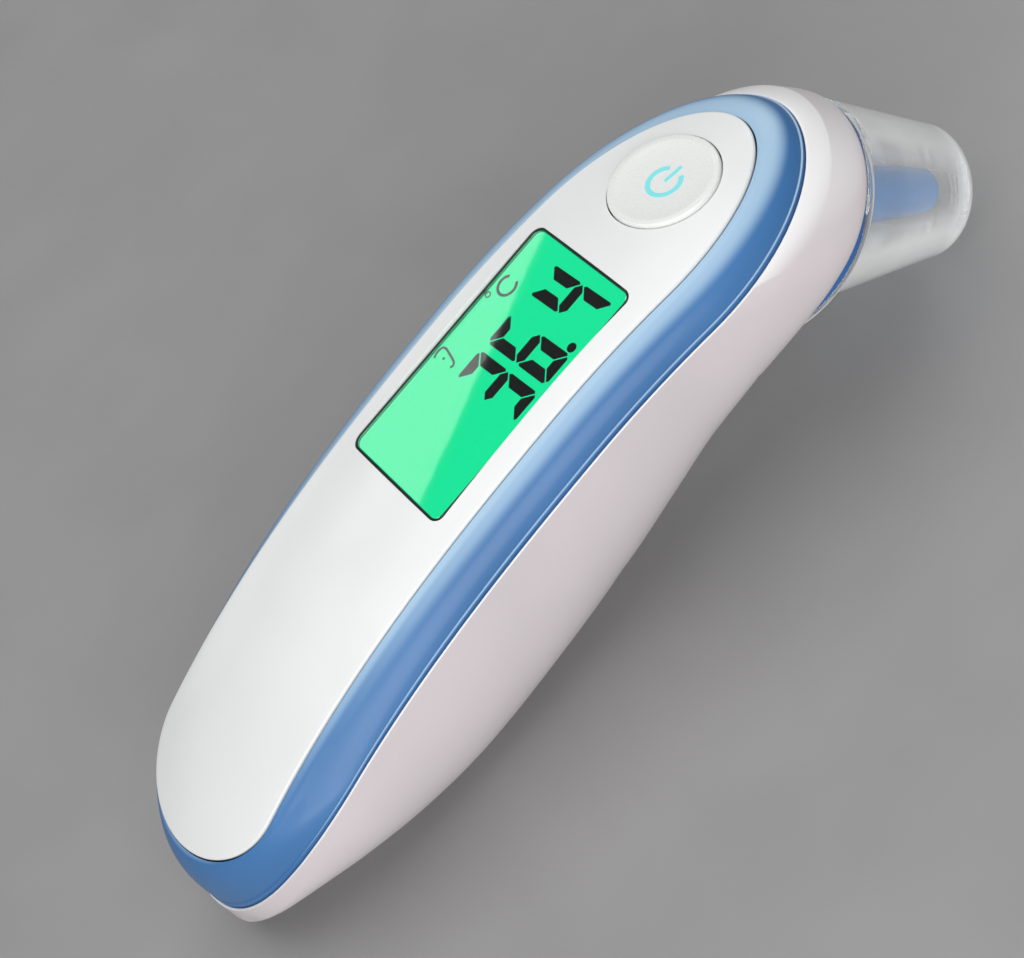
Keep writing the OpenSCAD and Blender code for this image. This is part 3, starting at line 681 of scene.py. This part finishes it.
top_skin, under_skin = skin_rows(edge[:, 0], 0), skin_rows(edge[:, -1], PANEL_T)
top_skin[:, -1], top_skin[:, 0] = edge[:, 0], mirrored(edge[:, 0])
under_skin[:, -1], under_skin[:, 0] = edge[:, -1], mirrored(edge[:, -1])
panel_vertices, panel_faces = [], []
for grid, closed in ((edge_loop, True), (top_skin, False), (under_skin, False)):
    base = len(panel_vertices)
    panel_vertices += list(grid.reshape(-1, 3))
    panel_faces += [tuple(base + k for k in face) for face in grid_faces(*grid.shape[:2], close_rows=closed)]
panel = put("front_panel_moulding", panel_vertices, panel_faces, "casing", ["front_panel"], "panel_white")

WINDOW_W, WINDOW_L, WINDOW_R, BORDER_W = 22, 39.6, 1.3, 0.36
display_tilt = math.atan((arch(WINDOW_L / 2) - arch(-WINDOW_L / 2)) / WINDOW_L)
at_display = tilted((0, 0, (arch(WINDOW_L / 2) + arch(-WINDOW_L / 2)) / 2), display_tilt)
BUTTON_R, BUTTON_Y, BUTTON_GAP = 8.3, 35.2, 0.2
button_tilt = math.atan(-2 * ARCH_TOP * BUTTON_Y / 47**2)
at_button = tilted((0, BUTTON_Y, float(arch(BUTTON_Y))), button_tilt)


def circle(radius, steps=96):
    return [(radius * math.cos(2 * math.pi * k / steps), radius * math.sin(2 * math.pi * k / steps))
            for k in range(steps)]


hole_outline = rounded_rectangle(WINDOW_W + 2 * BORDER_W, WINDOW_L + 2 * BORDER_W, WINDOW_R + BORDER_W, 12)
hole_vertices, hole_faces = prism(hole_outline, -8, 4)
cut(panel, loose("window_hole", at_display(hole_vertices), hole_faces))
hole_vertices, hole_faces = prism(circle(BUTTON_R + BUTTON_GAP), -6, 4)
cut(panel, loose("button_hole", at_button(hole_vertices), hole_faces))
dress(panel, panel_white)
panel.data.shade_smooth()
sharpen(panel, 30)
print("panel:", len(panel.data.polygons), "faces")

# %% [markdown]
# ## Display
# A thin black border follows the panel's skin. Inside it lies the flat window, and under that the lit
# liquid crystal with its dark figures. The figures read along the handle, with their tops to the left.

# %% Border, window and liquid crystal
WINDOW_Z = -CROWN * (WINDOW_W / 2) ** 2
WINDOW_T, CELL_TOP, CELL_T = 0.35, WINDOW_Z - 0.5, 1.4
outer_line = rounded_rectangle(WINDOW_W + 2 * BORDER_W - 0.06, WINDOW_L + 2 * BORDER_W - 0.06,
                               WINDOW_R + BORDER_W, 12)
inner_line = rounded_rectangle(WINDOW_W, WINDOW_L, WINDOW_R, 12)


def on_face(points, lift):
    """Lifts outline points of the display's frame onto the panel's skin."""
    placed = np.array(at_display([(x, y, 0) for x, y in points]))
    return np.stack([placed[:, 0], placed[:, 1], face_z(placed[:, 0], placed[:, 1]) + lift], 1)


middle = [tuple((np.array(a) * 0.5 + np.array(b) * 0.5)) for a, b in zip(outer_line, inner_line)]
border_rows = [on_face(outer_line, -2.2), on_face(outer_line, -0.04), on_face(middle, 0.03),
               on_face(inner_line, -0.04),
               np.array(at_display([(x, y, WINDOW_Z - 0.03) for x, y in inner_line])),
               np.array(at_display([(x, y, WINDOW_Z - 2.2) for x, y in inner_line]))]
border_grid = np.stack(border_rows, 1)
border = put("window_border", border_grid.reshape(-1, 3),
             grid_faces(*border_grid.shape[:2], close_columns=True),
             "casing", ["window_gasket"], "gasket_black")
dress(border, gasket_black)
sharpen(border, 40)


def slab(name, w, l, r, top, bottom, bevel, node_name, slot, material):
    """A flat plate with round corners and a small bevel round its top edge."""
    rows = [rounded_rectangle(w, l, r, 12), rounded_rectangle(w, l, r, 12),
            rounded_rectangle(w - 2 * bevel, l - 2 * bevel, r - bevel, 12)]
    heights = [bottom, top - bevel, top]
    n = len(rows[0])
    vertices = [(x, y, z) for row, z in zip(rows, heights) for x, y in row]
    faces = [(k * n + i, k * n + (i + 1) % n, (k + 1) * n + (i + 1) % n, (k + 1) * n + i)
             for k in range(2) for i in range(n)]
    faces += [tuple(range(n - 1, -1, -1)), tuple(range(2 * n, 3 * n))]
    piece = dress(put(name, at_display(vertices), faces, "casing", [node_name], slot), material)
    sharpen(piece, 30)
    return piece


slab("display_window", WINDOW_W - 0.1, WINDOW_L - 0.1, WINDOW_R, WINDOW_Z, WINDOW_Z - WINDOW_T, 0.08,
     "lcd_window", "window_clear", window_clear)
slab("liquid_crystal_cell", WINDOW_W - 0.1, WINDOW_L - 0.1, WINDOW_R, CELL_TOP, CELL_TOP - CELL_T, 0.1,
     "lcd_cell", "lcd_glass", lcd_green)
print("border:", len(border.data.polygons), "faces")

# %% [markdown]
# Each figure is built from seven bars with mitred ends and hairline gaps between them. The bars lie in
# their own frame, where x runs along the handle and y towards the left side, and one list of names says
# which bars of a figure are lit.

# %% Figures
FIGURE_W, FIGURE_H, BAR_W, BAR_GAP, SLANT, MARK_T = 5.3, 13.8, 1.8, 0.16, -0.04, 0.04
BAR_BLUNT = 0.3
BARS = {"top": ((0, 2), (1, 2)), "middle": ((0, 1), (1, 1)), "bottom": ((0, 0), (1, 0)),
        "high left": ((0, 1), (0, 2)), "high right": ((1, 1), (1, 2)), "low left": ((0, 0), (0, 1)),
        "low right": ((1, 0), (1, 1))}
FIGURES = [(-3.2, ["top", "high right", "middle", "low right", "bottom"]),
           (3.45, ["top", "high left", "middle", "low left", "low right", "bottom"]),
           (12.3, ["high left", "high right", "middle", "low right"])]
figure_low = -9.5


def bar_outline(start, stop, corner):
    """A mitred bar between two corners of a figure, with its outer side along the figure's edge."""
    (x0, y0), (x1, y1) = start, stop
    length = math.hypot(x1 - x0, y1 - y0)
    dx, dy = (x1 - x0) / length, (y1 - y0) / length
    nx, ny = corner
    h, g, blunt = BAR_W, BAR_GAP, BAR_BLUNT
    if corner == (0, 0):
        h /= 2
        return [(x0 + dx * a - dy * b, y0 + dy * a + dx * b) for a, b in
                ((g, 0), (h + g, h), (length - h - g, h), (length - g, 0), (length - h - g, -h), (h + g, -h))]
    side = 1 if (-dy * nx + dx * ny) > 0 else -1
    return [(x0 + dx * a - dy * b * side, y0 + dy * a + dx * b * side) for a, b in
            ((g + blunt, blunt), (g + h, h), (length - g - h, h), (length - g - blunt, blunt),
             (length - g - 2 * blunt, 0), (g + 2 * blunt, 0))]


def mark_faces(outlines, top, thickness):
    """Thin prisms with the given outlines on the display; x runs along the handle, y to its left side."""
    vertices, faces = [], []
    for outline in outlines:
        part_vertices, part_faces = prism([(-y, x) for x, y in outline], top - thickness, top)
        base = len(vertices)
        vertices += part_vertices
        faces += [tuple(base + k for k in face) for face in part_faces]
    return at_display(vertices), faces


def arc_band(cx, cy, radius, width, start, stop, steps=32):
    """Outline of a curved stroke with square ends."""
    angles = [math.radians(start + (stop - start) * k / steps) for k in range(steps + 1)]
    outside = [(cx + (radius + width / 2) * math.cos(a), cy + (radius + width / 2) * math.sin(a))
               for a in angles]
    inside = [(cx + (radius - width / 2) * math.cos(a), cy + (radius - width / 2) * math.sin(a))
              for a in angles]
    return outside + inside[::-1]


outlines = []
for left, lit_bars in FIGURES:
    w, h = FIGURE_W, FIGURE_H / 2
    for bar in lit_bars:
        (x0, y0), (x1, y1) = BARS[bar]
        inward_x = 0 if bar in ("top", "middle", "bottom") else (1 if x0 == 0 else -1)
        inward_y = {"top": -1, "bottom": 1}.get(bar, 0)
        outline = bar_outline((x0 * w, y0 * h), (x1 * w, y1 * h), (inward_x, inward_y))
        outlines.append([(left + x + SLANT * y, figure_low + y) for x, y in outline])
outlines.append([(9.64 + x, -8.66 + y) for x, y in circle(0.75, 32)])
figures = put("display_figures", *mark_faces(outlines, CELL_TOP + MARK_T, MARK_T), "casing", ["lcd_segments"],
              "segment_black", smooth=False)
dress(figures, segment_black)

EAR_LINE = [(-3.5, 10.2), (-3.0, 10.45), (-2.4, 10.5), (-1.8, 10.4), (-1.5, 10.1), (-1.45, 9.5), (-1.6, 8.8),
            (-1.8, 7.9), (-2.05, 6.95), (-2.3, 6.5), (-2.65, 6.35), (-3.05, 6.6)]


def stroke(points, width):
    """Outline of an open line drawn with an even width."""
    line = np.array(points, float)
    along = np.gradient(line, axis=0)
    side = np.stack([-along[:, 1], along[:, 0]], 1) / np.linalg.norm(along, axis=1)[:, None] * width / 2
    return [tuple(p) for p in np.concatenate([line + side, (line - side)[::-1]])]


small_marks = [arc_band(10.7, 8.55, 1.55, 0.45, 35, 325), arc_band(8.05, 10.3, 0.42, 0.2, 4, 356),
               stroke(EAR_LINE, 0.36), [(-2.7 + x, 8.7 + y) for x, y in circle(0.22, 20)]]
marks = put("display_marks", *mark_faces(small_marks, CELL_TOP + MARK_T, MARK_T), "casing",
            slot="segment_black",
            smooth=False)
dress(marks, mark_grey)
print("display marks:", len(outlines) + len(small_marks))

# %% [markdown]
# ## Power button
# The button is turned from a profile: a shallow dish, a raised round edge, the side that runs down the
# hole, and the stem that meets the dome switch. The mark on it is a printed ring with a bar.


# %% Turned pieces
def turned(profile, place, steps=128):
    """Vertices and faces of a profile of (radius, height) pairs turned about the local Z axis."""
    vertices, faces = [], []
    for k in range(steps):
        a = 2 * math.pi * k / steps
        vertices += [(r * math.cos(a), r * math.sin(a), z) for r, z in profile]
    faces = grid_faces(steps, len(profile))
    return place(vertices), faces


button_profile = [(0, -0.02), (2, -0.02), (4, 0.0), (5.5, 0.04), (6.6, 0.1)]
button_profile += [(BUTTON_R - 0.9 + r, z - 0.25) for r, z in arc((0, 0), 0.45, 100, 60, 2)]
button_profile += arc((BUTTON_R - 0.45, -0.2), 0.45, 70, 0, 6)
button_profile += [(BUTTON_R, -2.6), (BUTTON_R + 1, -2.6), (BUTTON_R + 1, -3.4), (2.2, -3.4), (2.2, -4.6),
                   (0, -4.6)]
button = put("power_button_cap", *turned(button_profile, at_button), "button", ["power_button"],
             "button_white")
dress(button, button_white)
sharpen(button, 40)

symbol_top, symbol_t = 0.03, 0.1
ring_outline = arc_band(0.4, -0.1, 2.45, 0.74, 90 + 32, 90 + 328, 64)
power_bar = [(0.4 + x, y) for x, y in ((-0.29, 0.1), (-0.2, 0.0), (0.2, 0.0), (0.29, 0.1), (0.29, 3.05),
                                            (0.2, 3.15), (-0.2, 3.15), (-0.29, 3.05))]
symbol_vertices, symbol_faces = [], []
for outline in (ring_outline, power_bar):
    part_vertices, part_faces = prism(outline, symbol_top - symbol_t, symbol_top)
    base = len(symbol_vertices)
    symbol_vertices += part_vertices
    symbol_faces += [tuple(base + k for k in face) for face in part_faces]
symbol = put("power_mark", at_button(symbol_vertices), symbol_faces, "button", ["button_symbol"],
             "symbol_cyan", smooth=False)
dress(symbol, symbol_cyan)
print("button:", len(button.data.polygons), "faces")

# %% [markdown]
# ## Probe and cap
# The probe leans away from the square of the head's opening, so its cone meets the base plate in an
# ellipse. Each line of the cone is followed back until it meets a plane parallel to the opening, which
# gives the foot of the nose and of the cap without cutting anything.

# %% Cone helpers
PROBE_TILT = math.radians(54.3)
CONE_MID = np.array([0, UPPER_LEN - 11.7, -25.1])
CONE_OUT = np.array([0, math.cos(PROBE_TILT), -math.sin(PROBE_TILT)])
CONE_UP = np.array([0, math.sin(PROBE_TILT), math.cos(PROBE_TILT)])
CONE_STEPS = 160


def cone_point(along, radius, angle):
    return CONE_MID + along * CONE_OUT + radius * (math.cos(angle) * np.array([1, 0, 0])
                                                   + math.sin(angle) * CONE_UP)


def foot(radius_at_zero, taper, angle, height):
    """Distance along the axis where a line of the cone meets the plane at this height over the opening."""
    start = cone_point(0, radius_at_zero, angle) - OPEN_MID
    step = cone_point(1, radius_at_zero - taper, angle) - cone_point(0, radius_at_zero, angle)
    return (height - start @ OPEN_OUT) / (step @ OPEN_OUT)


def cone_grid(rows_at):
    """Vertices and faces of a closed skin: rows_at(angle) gives the points of one section."""
    rows = [rows_at(2 * math.pi * k / CONE_STEPS) for k in range(CONE_STEPS)]
    return [p for row in rows for p in row], grid_faces(CONE_STEPS, len(rows[0]))


# %% Cap
CAP_LEN, CAP_TIP_R, TIP_ROUND = 30, 10.2, 3.4
CAP_FOOT_R, CAP_WALL = 15.8, 1.8
CAP_BACK, CAP_NARROWS = 14, 5.6  # how far the cone is run back, and its fall over the length
CAP_TAPER = (CAP_FOOT_R + CAP_BACK * CAP_NARROWS / CAP_LEN - CAP_TIP_R) / (CAP_LEN - TIP_ROUND + CAP_BACK)
CAP_R0 = CAP_TIP_R + CAP_TAPER * (CAP_LEN - TIP_ROUND)
HOLLOW_TIP_R, HOLLOW_LEN, HOLLOW_ROUND = 6.4, 28, 4
HOLLOW_BACK, HOLLOW_WIDENS = 16, 3.84
HOLLOW_FOOT_R = CAP_FOOT_R - CAP_WALL + HOLLOW_WIDENS
HOLLOW_TAPER = (HOLLOW_FOOT_R - HOLLOW_TIP_R) / (HOLLOW_LEN - HOLLOW_ROUND + HOLLOW_BACK)
HOLLOW_R0 = HOLLOW_TIP_R + HOLLOW_TAPER * (HOLLOW_LEN - HOLLOW_ROUND)
FLANGE_R, FLANGE_LOW, FLANGE_HIGH, FILLET = OPEN_R - 0.2, 1.1, 2.1, 0.5


def seat(angle):
    """How far the flange dips towards the shell, at a foot on each side of its upper half."""
    turned_to_side = math.degrees(math.atan2(math.sin(angle), abs(math.cos(angle))))
    return 0.8 * math.exp(-(((turned_to_side - 40) / 21) ** 4))


def cap_section(angle):
    """One section of the cap: flange, outside, tip, and back down the hollow."""
    low, high = FLANGE_LOW, FLANGE_HIGH
    points = [open_point(FLANGE_R - 0.2, angle, low - seat(angle)),
              open_point(FLANGE_R, angle, low + 0.2 - seat(angle)),
              open_point(FLANGE_R, angle, high - 0.3), open_point(FLANGE_R - 0.09, angle, high - 0.09),
              open_point(FLANGE_R - 0.3, angle, high)]
    s0 = foot(CAP_R0, CAP_TAPER, angle, high)
    straight = CAP_LEN - TIP_ROUND
    ease = np.linspace(0, 1, 22)
    start = s0 + FILLET * 0.6
    for t in ease:
        s = start + (straight - start) * t
        points.append(cone_point(s, CAP_R0 - CAP_TAPER * s, angle))
    for turn in np.radians(np.linspace(10, 90, 10)):
        points.append(cone_point(straight + TIP_ROUND * math.sin(turn),
                                 CAP_TIP_R - TIP_ROUND * (1 - math.cos(turn)), angle))
    points += [cone_point(CAP_LEN + 0.12, 3.5, angle), cone_point(CAP_LEN + 0.16, 0, angle)]
    points += [cone_point(HOLLOW_LEN, 0, angle), cone_point(HOLLOW_LEN, HOLLOW_TIP_R - HOLLOW_ROUND, angle)]
    straight = HOLLOW_LEN - HOLLOW_ROUND
    for turn in np.radians(np.linspace(80, 0, 9)):
        points.append(cone_point(straight + HOLLOW_ROUND * math.sin(turn),
                                 HOLLOW_TIP_R - HOLLOW_ROUND * (1 - math.cos(turn)), angle))
    s1 = foot(HOLLOW_R0, HOLLOW_TAPER, angle, low)
    for t in ease[1:]:
        s = straight + (s1 - straight) * t
        points.append(cone_point(s, HOLLOW_R0 - HOLLOW_TAPER * s, angle))
    return points + [points[0]]


cap = dress(put("clear_probe_cap", *cone_grid(cap_section), "cap", ["probe_cap"], "cap_clear"), cap_clear)
sharpen(cap, 50)
print("cap:", len(cap.data.polygons), "faces")

# %% Collar, base plate and nose
BASE_R, PLUG_H, COLLAR_H = OPEN_R - WALL - 1.7, 1.5, 1.0


def collar_section(angle):
    """One section of the collar, whose outer lip is lower at the sides, where the cap's flange dips."""
    plug, top = OPEN_R - WALL - 0.8, COLLAR_H - seat(angle)
    profile = [(BASE_R + 0.1, -PLUG_H), (plug, -PLUG_H), (plug, 0.03), (OPEN_R - 0.2, 0.03),
               (OPEN_R - 0.12, top / 2), (OPEN_R - 0.16, top - 0.05), (OPEN_R - 0.3, top),
               (BASE_R + 0.9, top), (BASE_R + 0.3, COLLAR_H - 0.05), (BASE_R + 0.1, COLLAR_H - 0.2),
               (BASE_R + 0.1, -PLUG_H)]
    return [open_point(r, angle, z) for r, z in profile]


collar = dress(put("probe_collar_ring", *cone_grid(collar_section), "casing", ["probe_collar"],
                   "collar_blue"), collar_blue)
sharpen(collar, 40)

NOSE_R0, NOSE_TIP_R, NOSE_LEN = 6.35, 4.4, 25.5
NOSE_TAPER = (NOSE_R0 - NOSE_TIP_R) / NOSE_LEN
NOSE_BORE = NOSE_TIP_R - 0.9


def nose_section(angle):
    """One section of the nose: foot fillet, tapered side, rounded tip and the bore's mouth."""
    s0 = foot(NOSE_R0, NOSE_TAPER, angle, COLLAR_H + 0.03)
    points = []
    for t in np.linspace(0, 1, 18):
        s = s0 + (NOSE_LEN - 0.9 - s0) * t
        flare = 0.9 * max(0, 1 - (s - s0) / 1.4) ** 2
        points.append(cone_point(s, NOSE_R0 - NOSE_TAPER * s + flare, angle))
    for turn in np.radians(np.linspace(15, 90, 6)):
        points.append(cone_point(NOSE_LEN - 0.9 + 0.7 * math.sin(turn),
                                 NOSE_TIP_R + 0.1 - 0.7 * (1 - math.cos(turn)), angle))
    points += [cone_point(NOSE_LEN - 0.35, NOSE_BORE, angle), cone_point(NOSE_LEN - 6, NOSE_BORE, angle)]
    return points


nose = dress(put("probe_nose_cone", *cone_grid(nose_section), "casing", ["probe_nose"], "nose_blue"),
             nose_blue)
sharpen(nose, 40)


def plate_section(angle):
    """One section of the base plate, from its rounded rim to the foot of the nose."""
    s0 = foot(NOSE_BORE + 1, 0, angle, COLLAR_H)
    rim = [open_point(BASE_R, angle, -1.0), open_point(BASE_R, angle, COLLAR_H - 0.25),
           open_point(BASE_R - 0.08, angle, COLLAR_H - 0.08), open_point(BASE_R - 0.25, angle, COLLAR_H)]
    inner_point = cone_point(s0, NOSE_BORE + 1, angle)
    return rim + [rim[-1] + (inner_point - rim[-1]) * t for t in (0.25, 0.5, 0.75, 1)]


plate = dress(put("probe_base_plate", *cone_grid(plate_section), "casing", ["probe_base"], "inner_white"),
              inner_white)
sharpen(plate, 40)
print("probe:", sum(len(p.data.polygons) for p in (collar, nose, plate)), "faces")

# %% [markdown]
# ## Parts that stay as the frame made them
# The inner parts keep their CAD shapes. They show when the cap or the door is off, so each one gets the
# finish of the real part.

# %% Finishes of the inner parts
FINISHES = {"probe_window": lens_dark, "waveguide_tube": metal_gold, "sensor_can": metal_steel,
            "sensor_sleeve": metal_steel, "sensor_ribbon": ribbon_amber, "battery_tray": inner_white,
            "left_cell": cell_jacket, "right_cell": cell_jacket, "contact_springs": metal_steel,
            "contact_plates": metal_steel, "main_board": board_green, "backlight": lcd_green,
            "lcd_frame": inner_white, "zebra_strips": chip_black, "dome_switch": metal_steel,
            "controller_chip": chip_black, "buzzer": chip_black, "board_screws": metal_steel,
            "base_screws": metal_steel}
for node_name, finish in FINISHES.items():
    dress(frame["nodes"][node_name], finish)
print("inner parts:", len(FINISHES))

# %% [markdown]
# ## Studio
# The thermometer lies on a plain grey floor. A large soft light hangs overhead and a broad panel lights the
# right side. Small lights lift the head and the left edge, a level panel shows as a reflection in the
# display's window, and a dim sky fills the shadows.

# %% Floor
FLOOR_SIZE = 6000
floor_mesh = bpy.data.meshes.new("floor")
half_floor = FLOOR_SIZE / 2 * MM
floor_mesh.from_pydata([(-half_floor, -half_floor, 0), (half_floor, -half_floor, 0),
                        (half_floor, half_floor, 0),
                        (-half_floor, half_floor, 0)], [], [(0, 1, 2, 3)])
floor = bpy.data.objects.new("floor", floor_mesh)
bpy.context.scene.collection.objects.link(floor)
floor_grey = moulded("painted_floor", "#9b9a9a", "#979696", 0.7)
dress(floor, floor_grey)
print("floor:", FLOOR_SIZE, "mm square")


# %% Lights
def area_light(name, place, target, size, power):
    """A rectangular light at a place that faces a target, both in mm, with its size in mm."""
    light = bpy.data.lights.new(name, "AREA")
    light.shape, light.size, light.size_y = "RECTANGLE", size[0] * MM, size[1] * MM
    light.energy = power
    lamp = bpy.data.objects.new(name, light)
    bpy.context.scene.collection.objects.link(lamp)
    lamp.location = Vector(place) * MM
    lamp.rotation_euler = (Vector(target) - Vector(place)).to_track_quat("-Z", "Y").to_euler()
    return lamp


def panel_light(name, middle, turn, size, power):
    """A level light panel that faces down, with its middle and size in mm and its turn in degrees."""
    lamp = area_light(name, middle, (middle[0], middle[1], 0), size, power)
    lamp.rotation_euler = (0, 0, math.radians(turn))
    return lamp


area_light("key_softbox", (0, 0, 460), (10, 0, 30), (500, 500), 1.25)
area_light("side_panel", (560, -200, 290), (0, -20, 20), (700, 400), 3.3)
area_light("head_softbox", (-290, 380, 330), (0, 30, 30), (200, 160), 0.3)
area_light("left_strip", (-520, -40, 170), (0, -10, 30), (620, 110), 0.3)
panel_light("window_softbox", (-444, -111, 413), 16, (170, 220), 0.22)
world = bpy.data.worlds.new("studio")
bpy.context.scene.world = world
world.use_nodes = True
world.node_tree.nodes["Background"].inputs["Color"].default_value = colour("#d6d8dc")
world.node_tree.nodes["Background"].inputs["Strength"].default_value = 0.2
bpy.context.scene.view_settings.view_transform = "Standard"
print("lights:", len(bpy.data.lights))

# %% [markdown]
# The camera looks down on the thermometer from its right side, turned so that the handle runs from the
# lower left to the upper right of the picture.

# %% Camera
CAMERA_PLACE, CAMERA_FORWARD = (227.3, 5.3, 224.7), (-0.6814, -0.0454, -0.7305)
CAMERA_UP, LENS = (-0.491, 0.7685, 0.4103), 82.7
camera_data = bpy.data.cameras.new("camera")
camera_data.sensor_width, camera_data.lens = 36, LENS
camera = bpy.data.objects.new("camera", camera_data)
bpy.context.scene.collection.objects.link(camera)
turn = to_row.to_3x3().normalized()
forward, upward = turn @ Vector(CAMERA_FORWARD).normalized(), turn @ Vector(CAMERA_UP).normalized()
right = forward.cross(upward).normalized()
upward = right.cross(forward)
axes = Matrix((right, upward, -forward)).transposed().to_4x4()
camera.matrix_world = Matrix.Translation(to_row @ Vector(CAMERA_PLACE)) @ axes
bpy.context.scene.camera = camera
print("camera at", [round(v / MM) for v in camera.location], "mm")
